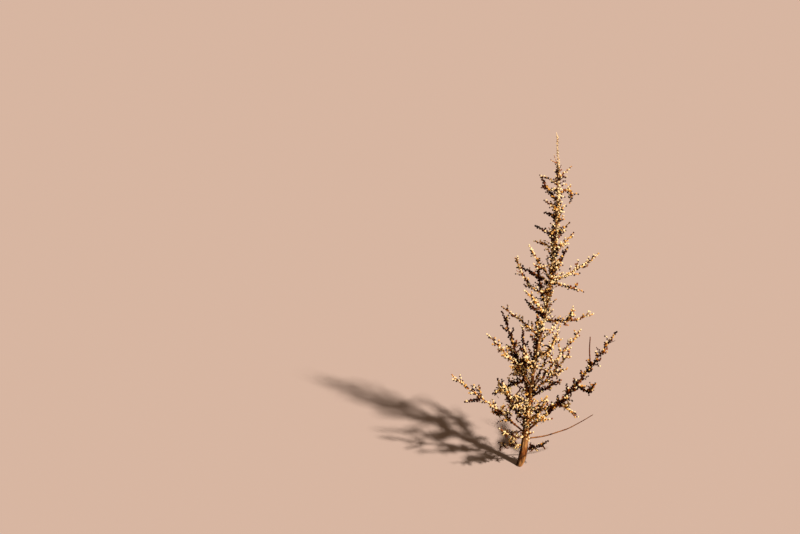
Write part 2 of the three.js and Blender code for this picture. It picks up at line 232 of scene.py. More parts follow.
def sleeves(rings):
    """The points and triangles of tubes, from their points by tube, ring and side: each ring joined
    to the next all round, and a middle point that closes each end."""
    tubes, count, sides, _ = rings.shape
    corner = np.arange(tubes * count * sides).reshape(tubes, count, sides)
    turned = np.roll(corner, -1, axis=2)
    low, low_next, high, high_next = corner[:, :-1], turned[:, :-1], corner[:, 1:], turned[:, 1:]
    walls = [np.stack([low, low_next, high_next], -1), np.stack([low, high_next, high], -1)]
    foot = np.broadcast_to(corner.size + np.arange(tubes)[:, None], (tubes, sides))
    ends = [np.stack([foot, turned[:, 0], corner[:, 0]], -1)]
    ends.append(np.stack([foot + tubes, corner[:, -1], turned[:, -1]], -1))
    points = [rings.reshape(-1, 3), rings[:, 0].mean(axis=1), rings[:, -1].mean(axis=1)]
    return np.vstack(points), np.vstack([part.reshape(-1, 3) for part in walls + ends])


def facing_key_light(rings):
    """How far each point of tubes faces the key light, -1 to 1, for painted highlight and painted shade:
    its direction from the middle of its ring, against the light's, and 0 for the middle points of the
    ends, which come last."""
    spoke = rings - rings.mean(axis=2, keepdims=True)
    spoke /= np.linalg.norm(spoke, axis=-1, keepdims=True)
    return np.append((spoke @ KEY_LIGHT_SIDE).ravel(), np.zeros(2 * len(rings)))


def bark_marks(rings, split, flaked):
    """What the bark's material reads at each point, with 0 for the middle points of the ends."""
    ends = np.zeros(2 * len(rings))
    marks = {"split": np.append(split, ends), "flaked": np.append(flaked, ends)}
    return {**marks, "painted_light": facing_key_light(rings)}


def in_scene(name, data):
    """An object of a mesh, a lamp or a camera, put into the scene."""
    made = bpy.data.objects.new(name, data)
    bpy.context.scene.collection.objects.link(made)
    return made


def piece(name, points, triangles, finish, smooth, marks=None):
    """A mesh object at the origin from points in millimetres and triangles, with the values in marks
    kept as attributes of its points."""
    mesh = bpy.data.meshes.new(name)
    mesh.vertices.add(len(points))
    mesh.vertices.foreach_set("co", (points * MM).astype(np.float32).ravel())
    mesh.loops.add(triangles.size)
    mesh.loops.foreach_set("vertex_index", triangles.astype(np.int32).ravel())
    mesh.polygons.add(len(triangles))
    mesh.polygons.foreach_set("loop_start", np.arange(0, triangles.size, 3, dtype=np.int32))
    mesh.polygons.foreach_set("use_smooth", np.full(len(triangles), smooth))
    mesh.update(calc_edges=True)
    for mark, values in (marks or {}).items():
        kept = mesh.attributes.new(mark, "FLOAT", "POINT")
        kept.data.foreach_set("value", values.astype(np.float32).ravel())
    mesh.materials.append(finish)
    return in_scene(name, mesh)


class Tone:
    """A socket of a material being mixed. Sums on it add Math nodes, and node adds any other."""

    def __init__(self, tree, socket=None):
        self.tree = tree
        self.socket = socket

    def node(self, kind, settings, sockets, out=0):
        """A node of a kind: its settings, and then its sockets, each linked to a Tone or set."""
        made = self.tree.nodes.new(kind)
        for setting, value in settings.items():
            setattr(made, setting, value)
        for name, value in sockets.items():
            if isinstance(value, Tone):
                self.tree.links.new(value.socket, made.inputs[name])
            else:
                made.inputs[name].default_value = value
        return Tone(self.tree, made.outputs[out])

    def math(self, operation, first, second):
        return self.node("ShaderNodeMath", {"operation": operation}, {0: first, 1: second})

    def __add__(self, other):
        return self.math("ADD", self, other)

    def __mul__(self, other):
        return self.math("MULTIPLY", self, other)

    __radd__ = __add__
    __rmul__ = __mul__

    def blend(self, first, second):
        """The first colour where this is 0 and the second where it is 1."""
        settings = {"data_type": "RGBA", "blend_type": "MIX"}
        return self.node("ShaderNodeMix", settings, {0: self, 6: first, 7: second}, out=2)

    def between(self, low, high):
        """This value spread so that low comes to 0 and high to 1, and kept between them."""
        return self.node("ShaderNodeMapRange", {"clamp": True}, {0: self, 1: low, 2: high})

    def mark(self, name):
        """A value that the mesh keeps at its points."""
        return self.node("ShaderNodeAttribute", {"attribute_name": name}, {}, out=2)

    def relief(self, strength, depth):
        """The slopes of a surface that this value raises by depth millimetres."""
        raised = {"Strength": strength, "Distance": depth * MM, "Height": self}
        return self.node("ShaderNodeBump", {}, raised)

    def feed(self, shader, name):
        """Links this to a socket of the shader."""
        self.tree.links.new(self.socket, shader.inputs[name])


def paint(code):
    """A colour of six hex digits as linear red, green and blue, with a full alpha."""
    shares = [int(code[k:k + 2], 16) / 255 for k in (0, 2, 4)]
    return (*[s / 12.92 if s <= 0.04045 else ((s + 0.055) / 1.055) ** 2.4 for s in shares], 1.0)


def new_finish(name, roughness=0.8):
    """An empty material of one roughness, its shader, and a Tone of its object's own coordinates in
    millimetres."""
    material = bpy.data.materials.new(name.replace("_", " "))
    material.use_nodes = True
    shader = material.node_tree.nodes["Principled BSDF"]
    shader.inputs["Roughness"].default_value = roughness
    shader.inputs["Specular IOR Level"].default_value = 0.12
    tree = Tone(material.node_tree)
    place = tree.node("ShaderNodeTexCoord", {}, {}, out=3)
    in_mm = tree.node("ShaderNodeMapping", {}, {"Vector": place, "Scale": (1 / MM,) * 3})
    return material, shader, in_mm


def noise(place, stretch, size, detail):
    """Noise on places scaled by stretch, with lumps of about size millimetres."""
    scaled = place.node("ShaderNodeMapping", {}, {"Vector": place, "Scale": stretch})
    return place.node("ShaderNodeTexNoise", {}, {"Vector": scaled, "Scale": 1 / size, "Detail": detail})


PALE_SPIRE = (170, 310)
SPIRE_COLOUR = "FFE6BC"


def bark_finish(name, deep, brown, tan, bleached, grain):
    """Bark: tan and brown in long streaks along the grain, bleached in patches and where it has
    flaked, painted shade on the side turned away from the key light, pale by degrees up the spire,
    painted shade deep in the splits, with fine fibres in relief."""
    material, shader, place = new_finish(name)
    streaks = noise(place, grain, 0.9, 5.0).between(0.36, 0.64)
    patches = noise(place, (1, 1, 0.5), 5.0, 3.0).between(0.42, 0.62)
    fibres = noise(place, grain, 0.28, 4.0)
    shaded = (place.mark("painted_light") + streaks * 0.3).between(0.46, 0.04)
    height = place.node("ShaderNodeSeparateXYZ", {}, {"Vector": place}, out=2)
    skin = streaks.blend(paint(brown), paint(tan))
    skin = (patches * 0.55).blend(skin, paint(bleached))
    skin = (place.mark("flaked") * 0.8).blend(skin, paint(bleached))
    # Painted shade: the side turned away from the key light is blended to the deep colour.
    skin = (shaded * 0.9).blend(skin, paint(deep))
    skin = (height.between(*PALE_SPIRE) * 0.85).blend(skin, paint(SPIRE_COLOUR))
    # Painted shade in the splits: they are blended to the deep colour.
    skin = place.mark("split").between(0.05, 0.5).blend(skin, paint(deep))
    skin.feed(shader, "Base Color")
    (0.72 + streaks * 0.2).feed(shader, "Roughness")
    fibres.relief(0.5, 0.12).feed(shader, "Normal")
    return material


stem_bark = bark_finish(
    "stem bark", deep="160702", brown="54260E", tan="9C5E2E", bleached="CF9C62", grain=(1, 1, 0.14)
)
stem_rings, stem_split, stem_flaked = stem_surface(STEM_ROWS, STEM_SIDES)
stem_marks = bark_marks(stem_rings[None], stem_split, stem_flaked)
stem_skin = piece("stem_bark", *sleeves(stem_rings[None]), stem_bark, True, stem_marks)
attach(stem_skin, "root")
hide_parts("stem")

# The boughs
# The bare feet of the ten longest shoots, and one whole shoot low on the right that has lost its
# twigs. They are the same wood, thinner and redder, with a ring of swelling at each old leaf joint,
# and each is rooted in its collar on the stem.
ARC_STEPS = 12
BOUGH_FROM = 55
BARE_SHARE = 0.16
BARE_SHOOTS = ["bare_right"]
BOUGH_ROWS = 110
BOUGH_SIDES = 14
BOUGH_OVERLAP = 1.5
FOOT_SPREAD = 0.9
JOINT_PITCH = 6.5
JOINT_SWELLING = 0.16

# Large forks of some shoots: the shoot, the place along it, and the rest as for a shoot.
FORKS = {
    "fork_fore": ("low_right", 42, -50, -14, 14, 25),
    "fork_curl": ("low_right", 66, -60, -18, 84, 31),
    "fork_up": ("low_right", 84, 95, 72, 8, 27),
    "fork_left": ("low_left", 56, 215, 8, 4, 18),
    "fork_pale": ("front_right", 20, -6, 38, 0, 25),
    "fork_down": ("steep_left", 13, 198, 0, -26, 32),
    "fork_arch": ("pale_left", 15, 190, 60, -96, 15),
    "fork_hook": ("hook_right", 22, -24, 80, 0, 14),
}
BARE_FORKS = ["fork_up"]


def heading_at(turn, up):
    """The direction at a turn seen from above and an angle above level, by their cosines and sines."""
    return np.stack([np.cos(up) * math.cos(turn), np.cos(up) * math.sin(turn), np.sin(up)], -1)


def arc(start, azimuth, rise, bend, length):
    """The axis of a shoot: equal steps in one upright plane, each turned up a little more."""
    up = np.radians(rise + bend * (np.arange(ARC_STEPS) + 0.5) / ARC_STEPS)
    steps = heading_at(math.radians(azimuth), up)
    return start + np.vstack([np.zeros(3), np.cumsum(steps, axis=0)]) * length / ARC_STEPS


def unit(vector):
    return vector / np.linalg.norm(vector)


def along(line, distance):
    """The point and the direction at a distance along a line of equal steps."""
    step = np.linalg.norm(line[1] - line[0])
    k = int(min(max(distance // step, 0), len(line) - 2))
    direction = unit(line[k + 1] - line[k])
    return line[k] + direction * (distance - k * step), direction


shoots = []
for name, (place, *course) in SHOOTS.items():
    length = course[3]
    bare = BARE_SHARE * length if length > BOUGH_FROM else 0
    axis = arc(stem_at(place), *course)
    limb = {"name": name, "axis": axis, "length": length, "from": bare, "azimuth": course[0]}
    limbs = [{**limb, "bare": False}]
    for fork, (on, way, *fork_course) in FORKS.items():
        if on == name:
            fork_axis = arc(along(axis, way)[0], *fork_course)
            limb = {"name": fork, "axis": fork_axis, "length": fork_course[3], "from": 0}
            limbs.append({**limb, "azimuth": fork_course[0], "bare": fork in BARE_FORKS})
    shoots.append({"name": name, "foot": bare, "limbs": limbs, "index": len(shoots)})


def stretch_of(line, start, end, count):
    """Even places on a line of straight steps from one distance along it to another."""
    gone = np.concatenate([[0], np.cumsum(np.linalg.norm(np.diff(line, axis=0), axis=1))])
    wanted = np.linspace(start, end, count)
    return np.stack([np.interp(wanted, gone, line[:, k]) for k in range(3)], -1)


def softened(lines):
    """Lines with each inner point drawn twice towards the middle of its neighbours."""
    for _ in range(2):
        middle = (lines[:, :-2] + lines[:, 2:]) / 2
        lines = np.concatenate([lines[:, :1], (lines[:, 1:-1] + middle) / 2, lines[:, -1:]], axis=1)
    return lines


def swung(first, second, turn):
    """One direction turned towards another square to it: its cosine of the turn, the other's sine."""
    return first * np.cos(turn) + second * np.sin(turn)


def rings_round(lines, radius):
    """Rings square to lines, by line, ring and side: the direction is the line's slope, the first
    side is square to it and to the way that the line runs least, and the radius turns round them."""
    ahead = np.gradient(lines, axis=1)
    ahead /= np.linalg.norm(ahead, axis=-1, keepdims=True)
    least = np.eye(3)[np.argmin(np.abs(ahead.mean(axis=1)), axis=-1)][:, None]
    side = np.cross(least, ahead)
    side /= np.linalg.norm(side, axis=-1, keepdims=True)
    over = np.cross(ahead, side)
    turn = np.linspace(0, 2 * np.pi, radius.shape[2], endpoint=False)[None, None, :, None]
    spoke = swung(side[:, :, None], over[:, :, None], turn)
    return lines[:, :, None] + radius[..., None] * spoke


def bough_rings(shoot, rows, sides):
    """The bough's radius with a foot that spreads into its collar, a swollen ring at each joint,
    ribs along the grain and shallow splits, laid round its wandering axis."""
    limb = shoot["limbs"][0]
    whole = shoot["name"] in BARE_SHOOTS
    end = limb["length"] if whole else limb["from"] + BOUGH_OVERLAP
    distance = np.linspace(0, end, rows)[:, None]
    turn = np.linspace(0, 2 * np.pi, sides, endpoint=False)[None, :]
    seed = SEED * 10 + shoot["index"]
    base = limb_radius(limb["length"], distance)
    joint = np.exp(-((distance % JOINT_PITCH - 0.5 * JOINT_PITCH) / 0.55) ** 2)
    split = splits(distance, turn, 5, seed)
    ribbed = 0.06 * np.cos(5 * turn + 0.05 * distance) + 0.03 * waves(distance, turn, seed, 10, 11, 5.0)
    spread = FOOT_SPREAD * np.exp(-distance / 1.6)
    radius = base * (1 + ribbed + JOINT_SWELLING * joint + spread - 0.14 * split)
    if whole:
        radius = radius * np.sqrt(np.clip((end - distance) / 1.2, 0.05, 1))
    line = softened(wandering(stretch_of(limb["axis"], 0, end, rows))[None])
    return rings_round(line, radius[None]), split


shoot_bark = bark_finish(
    "shoot bark", deep="160702", brown="3E1B09", tan="8A4A1A", bleached="B07A42", grain=(0.6, 0.6, 0.4)
)
boughs = [shoot for shoot in shoots if shoot["foot"] > 0]
grown = [bough_rings(shoot, BOUGH_ROWS, BOUGH_SIDES) for shoot in boughs]
bough_tubes = np.vstack([rings for rings, _ in grown])
bough_split = np.stack([split for _, split in grown])
bough_marks = bark_marks(bough_tubes, bough_split, 0 * bough_split)
bough_skin = piece("boughs", *sleeves(bough_tubes), shoot_bark, True, bough_marks)
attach(bough_skin, "root")
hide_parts(*["bough_" + shoot["name"] for shoot in boughs])

# The twigs
# Each shoot carries side twigs set round it by the golden angle, each turning up towards its tip and
# ending where it would leave its shoot's own space, and each of those finer twigs again. They are
# hard and brittle, a little swollen at every joint, and all one growth with their shoot.
TWIGS_PER_MM = 0.18
TWIG_SHARE = 0.23
LONGEST_TWIG = 16
SHORTEST_TWIG = 3
TWIG_STEPS = 4
TWIG_LIFT = np.array([0, 0, 0.16])
TWIG_JOINT_PITCH = 2.6
TWIG_JOINT_SWELLING = 0.28
GOLDEN_ANGLE = math.radians(137.5)
NAKED_TWIGS = 0.1
FORK_FROM = 10
FORK_AT = 0.4
CLUSTER_RADIUS = 1.5
CLEAR = 0.3
SPURS = 72
SPURS_FROM = 30
SPURS_TO = 318
SPUR_LOW = 6.4
SPUR_HIGH = 8
SPUR_TIP = 1.8
SPURS_LENGTHEN = (150, 200)
SPURS_SHORTEN = (265, 300)
SPUR_TRIES = 10
SPUR_TURN = 0.6
SPUR_GAP = 0.4
OWN_SPACE = 3.3
STEM_LINE = stem_at(np.linspace(0, HEIGHT, 65))


def random_stream(seed):
    """Numbers from 0 to 1, the same on each run, by the mulberry32 generator."""
    state = seed
    while True:
        state = (state + 0x6D2B79F5) & 0xFFFFFFFF
        mixed = ((state ^ (state >> 15)) * (state | 1)) & 0xFFFFFFFF
        mixed ^= (mixed + ((mixed ^ (mixed >> 7)) * (mixed | 61))) & 0xFFFFFFFF
        yield (mixed ^ (mixed >> 14)) / 2 ** 32


def distances(points, starts, ends):
    """From each point to each straight piece of line: the point's share of the way along the piece,
    kept between its ends, gives the nearest place on it."""
    course = ends - starts
    reach = points[:, None] - starts
    share = np.clip((reach * course).sum(-1) / (course ** 2).sum(-1), 0, 1)
    return np.linalg.norm(reach - share[..., None] * course, axis=-1)


def off(line, p):
    """How far a point is from a line."""
    return distances(np.atleast_2d(p), line[:-1], line[1:]).min()


def grow_spurs():
    """Short twigs on the stem itself, out and up between the shoots: each is turned round the stem
    until it is clear of them, and left out where there is no room."""
    draws = random_stream(SEED)
    clear = limb_radius(BOUGH_FROM, 0) + CLEAR
    made = []
    for n in range(SPURS):
        z = SPURS_FROM + (SPURS_TO - SPURS_FROM) * (n + 0.8 * next(draws)) / SPURS
        rising = smoothstep(z, *SPURS_LENGTHEN)
        spire = smoothstep(z, *SPURS_SHORTEN)
        reach = SPUR_LOW + (SPUR_HIGH - SPUR_LOW) * rising
        length = (reach + (SPUR_TIP - reach) * spire) * (0.75 + 0.25 * next(draws))
        width = (0.85 - 0.35 * spire) * CLUSTER_RADIUS
        up = math.radians(20 + 30 * next(draws) + 25 * spire)
        for attempt in range(SPUR_TRIES):
            heading = heading_at(n * GOLDEN_ANGLE + SPUR_TURN * attempt, up)
            line = stem_at(z) + np.outer([0, 0.5, 1], length * heading)
            if any(off(one["limbs"][0]["axis"], p) < width + clear for one in shoots for p in line[1:]):
                continue
            if any(off(other["line"], p) < width + SPUR_GAP for other in made for p in line[1:]):
                continue
            one = {"line": line, "length": length, "width": width, "naked": False}
            made.append({**one, "start": 0.8 * float(stem_radius(line[0, 2]))})
            break
    return made


def pieces_of(lines):
    """The starts and the ends of the straight pieces of lines."""
    return np.vstack([line[:-1] for line in lines]), np.vstack([line[1:] for line in lines])


spurs = grow_spurs()
limb_pieces = pieces_of([limb["axis"] for shoot in shoots for limb in shoot["limbs"]])
owners = [shoot["index"] for shoot in shoots for _ in shoot["limbs"]]
piece_owner = np.repeat(owners, ARC_STEPS)
spur_pieces = pieces_of([spur["line"] for spur in spurs])
spur_width = np.repeat([spur["width"] for spur in spurs], 2)


def in_own_space(p, owner, radius=CLUSTER_RADIUS, spare=OWN_SPACE):
    """Whether a point is clear of the ground, the stem and its spurs, and nearer to its own shoot
    than to any other by the spare width."""
    if p[2] < spare or off(STEM_LINE, p) < stem_radius(p[2]) + radius + CLEAR:
        return False
    if (distances(p[None], *spur_pieces)[0] < radius + spur_width + CLEAR).any():
        return False
    gaps = distances(p[None], *limb_pieces)[0]
    own = piece_owner == owner
    return gaps[~own].min() > gaps[own].min() + spare


def twig_line(start, heading, curl, length, steps, fits):
    """A twig's line and how long it grew: even steps, the direction turned by the same curl at each,
    up to the one where the next would not fit."""
    points = [start]
    for _ in range(steps):
        heading = unit(heading + curl)
        ahead = points[-1] + heading * length / steps
        if not fits(ahead):
            break
        points.append(ahead)
    return np.array(points), (len(points) - 1) * length / steps


def side_twigs(limb, owner, seed):
    """The side twigs of one limb, by the golden angle, and a fork on each of the longer ones."""
    draws = random_stream(seed)
    count = max(math.floor(TWIGS_PER_MM * limb["length"] - 0.5), 0)
    longest = min(2 + TWIG_SHARE * limb["length"], LONGEST_TWIG)
    turn = math.radians(limb["azimuth"])
    side = np.array([-math.sin(turn), math.cos(turn), 0])
    fits = lambda p: in_own_space(p, owner)
    made = []
    for n in range(count):
        share = (n + 0.5 + 0.6 * (next(draws) - 0.5)) / count
        turn = n * GOLDEN_ANGLE + 1.2 * (next(draws) - 0.5)
        spread = math.radians(38 + 24 * next(draws))
        length = longest * (1 - 0.6 * share) * (0.55 + 0.45 * next(draws))
        naked = next(draws) < NAKED_TWIGS
        fork_turn = 1 if next(draws) < 0.5 else -1
        fork_share = 0.45 + 0.2 * next(draws)
        reach = limb["from"] + (limb["length"] - limb["from"]) * (0.05 + 0.86 * share)
        point, direction = along(limb["axis"], reach)
        radial = swung(side, np.cross(direction, side), turn)
        heading = swung(direction, radial, spread)
        line, grown = twig_line(point, heading, TWIG_LIFT, length, TWIG_STEPS, fits)
        if grown < SHORTEST_TWIG:
            continue
        made.append({"line": line, "length": grown, "naked": naked})
        if grown < FORK_FROM:
            continue
        base, base_direction = along(line, FORK_AT * grown)
        aside = unit(np.cross(base_direction, radial))
        heading = unit(0.7 * base_direction + 0.7 * fork_turn * aside)
        fork_reach = fork_share * grown
        fork, fork_length = twig_line(base, heading, TWIG_LIFT, fork_reach, TWIG_STEPS, fits)
        if fork_length >= SHORTEST_TWIG:
            made.append({"line": fork, "length": fork_length, "naked": False})
    return made


FINER_PER_MM = 0.4
FINER_LONGEST = 9.0
FINER_SHORTEST = 2.0
FINER_SPARE = 0.6
FINER_STEPS = 3
FINER_CURL = 0.16
FINER_SPREAD = (42, 72)
ASKEW = [0.31, 0.17, 0.93]
FINER_RADIUS = 0.6
NAKED_FINER = 0.05
STEM_TWIGS_FROM = 30
STEM_TWIGS_TO = 290
STEM_TWIG_LONGEST = 11.0
STEM_TWIGS = 240
STEM_BUDS = 520
STEM_BUDS_FROM = 25
STEM_BUDS_TO = 316
SPIRE = (280, 298)
LOW_DOWN = (60, 105)
BARE_STEM_FROM = 80
BARE_STEM_TO = 140


def finer_line(point, heading, length, random, fits):
    """A finer twig's line and length: it also curls to one side by chance."""
    curl = random.normal(0, FINER_CURL, 3) + TWIG_LIFT
    return twig_line(point, heading, curl, length, FINER_STEPS, fits)


def thicket(z):
    """How much longer the finer twigs grow low down on the plant."""
    return 1.25 - 0.25 * smoothstep(z, *LOW_DOWN)


def finer_twigs(line, length, start, owner, random, most, kept, thickest=0.0):
    """The next finer twigs of a limb or twig, by the same rule: a share kept where they are thickest,
    which is its inner end unless another place is given, and fewer away from there."""
    most = most * thicket(line[0, 2])
    fits = lambda p: in_own_space(p, owner, FINER_RADIUS, FINER_SPARE)
    made = []
    count = int(round(FINER_PER_MM * (length - start)))
    for n in range(count):
        share = (n + random.uniform(0.1, 0.9)) / count
        if random.uniform() > kept * (1 - 1.1 * abs(share - thickest) / max(thickest, 1 - thickest)):
            continue
        point, direction = along(line, start + (length - start) * share)
        side = unit(np.cross(direction, ASKEW))
        turn = n * GOLDEN_ANGLE + random.uniform(-0.5, 0.5)
        radial = swung(side, np.cross(direction, side), turn)
        heading = swung(direction, radial, math.radians(random.uniform(*FINER_SPREAD)))
        reach = most * (1 - 0.5 * share) * random.uniform(0.5, 1)
        points, grown = finer_line(point, heading, reach, random, fits)
        if grown >= FINER_SHORTEST:
            made.append({"line": points, "length": grown, "naked": random.uniform() < NAKED_FINER})
    return made


def stem_shows(z):
    """1 on the stretch where the stem shows bare between the shoots, 0 where it is hidden."""
    above = smoothstep(z, BARE_STEM_FROM - 8, BARE_STEM_FROM)
    return above * (1 - smoothstep(z, BARE_STEM_TO, BARE_STEM_TO + 8))


def stem_twigs(random):
    """Finer twigs straight off the stem, set round it by the golden angle, few on the stretch where
    the stem shows, and each clear of every shoot. Then buds that sit right on it."""
    clear = lambda p: distances(p[None], *limb_pieces).min() > FINER_SPARE
    made = []
    for n in range(STEM_TWIGS):
        z = STEM_TWIGS_FROM + (STEM_TWIGS_TO - STEM_TWIGS_FROM) * (n + random.uniform(0, 1)) / STEM_TWIGS
        if random.uniform() < 0.85 * stem_shows(z):
            continue
        turn = 0.8 + n * GOLDEN_ANGLE + random.uniform(-0.5, 0.5)
        up = math.radians(random.uniform(10, 60))
        heading = heading_at(turn, up)
        reach = STEM_TWIG_LONGEST * random.uniform(0.4, 1)
        reach = reach * (1 - 0.5 * smoothstep(z, 240, 290)) * thicket(z)
        foot = stem_at(z) + heading * 0.8 * stem_radius(z)
        points, grown = finer_line(foot, heading, reach, random, clear)
        if grown >= FINER_SHORTEST:
            made.append({"line": points, "length": grown, "naked": False, "start": 0})
    for n in range(STEM_BUDS):
        z = STEM_BUDS_FROM + (STEM_BUDS_TO - STEM_BUDS_FROM) * (n + random.uniform(0, 1)) / STEM_BUDS
        if random.uniform() < 0.9 * stem_shows(z):
            continue
        turn = n * GOLDEN_ANGLE + random.uniform(-0.6, 0.6)
        heading = unit(np.array([math.cos(turn), math.sin(turn), random.uniform(0.1, 0.9)]))
        out = stem_radius(z) + 1.0 - 0.6 * smoothstep(z, *SPIRE)
        line = stem_at(z) + np.outer([0.7, 0.85, 1.0], heading) * out
        made.append({"line": line, "length": 0.3 * out, "naked": False, "start": 0})
    return made


# The sprays and forks of the gold kind and of the umber kind; others are straw.
KINDS = ("straw", "gold", "umber")
SPRAYS_OF_KIND = {
    "gold": """foot_left low_left skirt_right low_front front_right back_right pale_right mid_front
        hook_right droop_right short_right arch_right fork_fore fork_pale fork_hook""".split(),
    "umber": """foot_right skirt_back low_back low_right fill_right steep_left mid_back rod_low rod_back
        flat_left lift_right upper_back bent_left high_back stub_left reach_left fork_left fork_down
        fork_curl fork_up""".split(),
}


def kind_of(name):
    """The number of the kind of a spray or a fork: straw, unless it is named under another."""
    return next((KINDS.index(kind) for kind, names in SPRAYS_OF_KIND.items() if name in names), 0)


STEM_GOLD_TO = 190


def kind_on_stem(number, z):
    """The kind of what grows on the stem itself: all three in turn, and none of it gold high up."""
    return (0, 2, 0, 0, 2)[number % 5] if z > STEM_GOLD_TO else (0, 1, 0, 1, 2)[number % 5]


# Every line of the sprays, with its radii, its kind, how fine it is and the share of its clusters
# that it still holds. Two shoots near the ground have lost many. Those right of the middle kept few
# of their finer twigs, and seven low ones about half. The longest has most of them past its middle.
FULL = 0.95
THINNED = {"skirt_left": 0.4, "foot_left": 0.7}
FINER_KEPT = {
    0.12: "front_right back_right pale_right mid_front mid_right".split(),
    0.5: "front_left low_back low_front mid_front_left steep_left pale_left low_left".split(),
}
THICKEST = {"low_right": 0.6}
BARE_FORK_RADII = (0.6, 0.42)
TWIG_RADII = ((0.3, 0.16), (0.22, 0.12))
SPUR_RADII = (0.24, 0.14)
strings = []
for shoot in shoots:
    if shoot["name"] in BARE_SHOOTS:
        continue
    owner = shoot["index"]
    random = np.random.default_rng(SEED * 100 + owner)
    for fork, limb in enumerate(shoot["limbs"]):
        length = limb["length"]
        whole = {"line": limb["axis"], "start": limb["from"], "length": length, "order": 0}
        strung_radii = (limb_radius(length, limb["from"]), SHOOT_TIP * 0.7)
        whole["radii"] = BARE_FORK_RADII if limb["bare"] else strung_radii
        held = {"kind": kind_of(limb["name"]), "full": THINNED.get(shoot["name"], FULL)}
        strings.append({**whole, **held, "naked": limb["bare"]})
        if limb["bare"]:
            continue
        twigs = side_twigs(limb, owner, SEED * 1000 + 10 * owner + fork)
        kept = next((share for share, names in FINER_KEPT.items() if shoot["name"] in names), 1)
        thickest = THICKEST.get(shoot["name"], 0.0)
        along_limb = (limb["axis"], length, limb["from"], owner, random)
        finest = finer_twigs(*along_limb, FINER_LONGEST, kept, thickest)
        for one in twigs:
            if one["length"] > 4 and not one["naked"]:
                more = finer_twigs(one["line"], one["length"], 0, owner, random, 0.5 * FINER_LONGEST, kept)
                finest += more
        for order, ones in ((1, twigs), (2, finest)):
            fineness = {"order": order, "radii": TWIG_RADII[order - 1]}
            strings += [{**one, **held, **fineness, "start": 0} for one in ones]
from_stem = stem_twigs(np.random.default_rng(SEED + 30))
for ones, radii in ((spurs, SPUR_RADII), (from_stem, TWIG_RADII[1])):
    for number, one in enumerate(ones):
        held = {"kind": kind_on_stem(number, one["line"][0, 2]), "full": FULL}
        strings.append({**one, **held, "order": 2, "radii": radii})


def twig_rings(ones, rows, sides, seed):
    """Tubes along strings: the radius falls evenly to the tip, swells at joints by a power of a cosine
    of the way along, spreads at the foot, and wrinkles by chance."""
    lines = np.array([stretch_of(one["line"], 0.9 * one["start"], one["length"], rows) for one in ones])
    radii = np.array([one["radii"] for one in ones])[:, :, None, None]
    length = np.array([one["length"] for one in ones])[:, None, None]
    share = np.linspace(0, 1, rows)[None, :, None]
    joints = np.maximum(np.cos(2 * np.pi * share * length / TWIG_JOINT_PITCH), 0) ** 6
    wrinkle = np.random.default_rng(seed).uniform(0.9, 1.1, (len(ones), rows, sides))
    radius = radii[:, 0] * (1 - share) + radii[:, 1] * share
    radius = radius * (1 + TWIG_JOINT_SWELLING * joints) * wrinkle
    radius = radius * (1 + 0.4 * np.exp(-share * length / 0.7))
    return rings_round(softened(wandering(lines)), radius)


def joined(parts):
    """The points and triangles of several shapes as one."""
    base = np.cumsum([0] + [len(points) for points, _ in parts[:-1]])
    return np.vstack([points for points, _ in parts]), np.vstack([t + b for (_, t), b in zip(parts, base)])


def twig_finish(name, dark, light):
    """Dry twig: two tones in patches along it, with painted highlight on the side facing the key light
    and painted shade on the side turned away, with fine wrinkles in relief."""
    material, shader, place = new_finish(name)
    tone = noise(place, (1, 1, 1), 2.2, 4.0).between(0.3, 0.7)
    # Painted highlight and shade: paler where the surface faces the key light, darker where it is turned
    # away.
    skin = (tone + place.mark("painted_light")).between(0.2, 1.2).blend(paint(dark), paint(light))
    skin.feed(shader, "Base Color")
    noise(place, (1, 1, 0.4), 0.3, 3.0).relief(0.4, 0.08).feed(shader, "Normal")
    return material


# Rows and sides of the tubes of shoots, side twigs and finer twigs.
TWIG_GRADES = ((40, 7), (9, 5), (5, 4))
for name, dark, light, kinds in (
    ("twigs_brown", "160601", "6E340E", (1, 2)),
    ("twigs_straw", "341404", "AC6826", (0,)),
):
    tubes = []
    for order, (rows, sides) in enumerate(TWIG_GRADES):
        ones = [one for one in strings if one["order"] == order and one["kind"] in kinds]
        tubes.append(twig_rings(ones, rows, sides, SEED + order))
    painted_light = {"painted_light": np.concatenate([facing_key_light(rings) for rings in tubes])}
    finish = twig_finish(name, dark, light)
    twigs = piece(name, *joined([sleeves(rings) for rings in tubes]), finish, True, painted_light)
    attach(twigs, "root")
    sprays = [name for name in SHOOTS if kind_of(name) in kinds and name not in BARE_SHOOTS]
    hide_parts(*["spray_" + name for name in sprays])

# The dry leaves
# Narrow leaves that shrivelled on the shoots, most of them low down on the left: thin straps, widest
# past their middle and curled over, each still held by its foot on a shoot or a twig.
LEAVES = 500
LEAVES_TO = 110.0
LEAVES_WITHIN = 30.0
LEFT_SHARE = 3.0
LEAF_ROWS = 7
LEAF_LENGTH = (3.5, 7.5)
LEAF_CURL = (50, 160)
LEAF_SECTION = np.array([0.85, 0.16, 0.85, 0.16])


def leaf_lines(hosts, random):
    """Curled lines that start on twigs: circles' arcs in the plane of a direction out from the twig
    and one square to it, of a chance length and curl. Each is likelier on the left."""
    made = []
    on_left = np.array([host["line"][0, 0] < stem_at(host["line"][0, 2])[0] for host in hosts])
    chance = 1 + (LEFT_SHARE - 1) * on_left
    for host in random.choice(len(hosts), LEAVES, p=chance / chance.sum()):
        line, length, start = (hosts[host][key] for key in ("line", "length", "start"))
        point, direction = along(line, random.uniform(start, 0.6 * length))
        side = unit(np.cross(direction, random.normal(size=3)))
        heading = unit(side + direction * random.uniform(0.3, 1.2))
        over = unit(np.cross(heading, random.normal(size=3)) - [0, 0, 0.5])
        over = unit(over - heading * (over @ heading))
        reach = random.uniform(*LEAF_LENGTH)
        curl = math.radians(random.uniform(*LEAF_CURL)) / reach
        gone = np.linspace(0, reach, LEAF_ROWS)[:, None]
        made.append(point + heading * np.sin(curl * gone) / curl + over * (1 - np.cos(curl * gone)) / curl)
    return np.array(made)


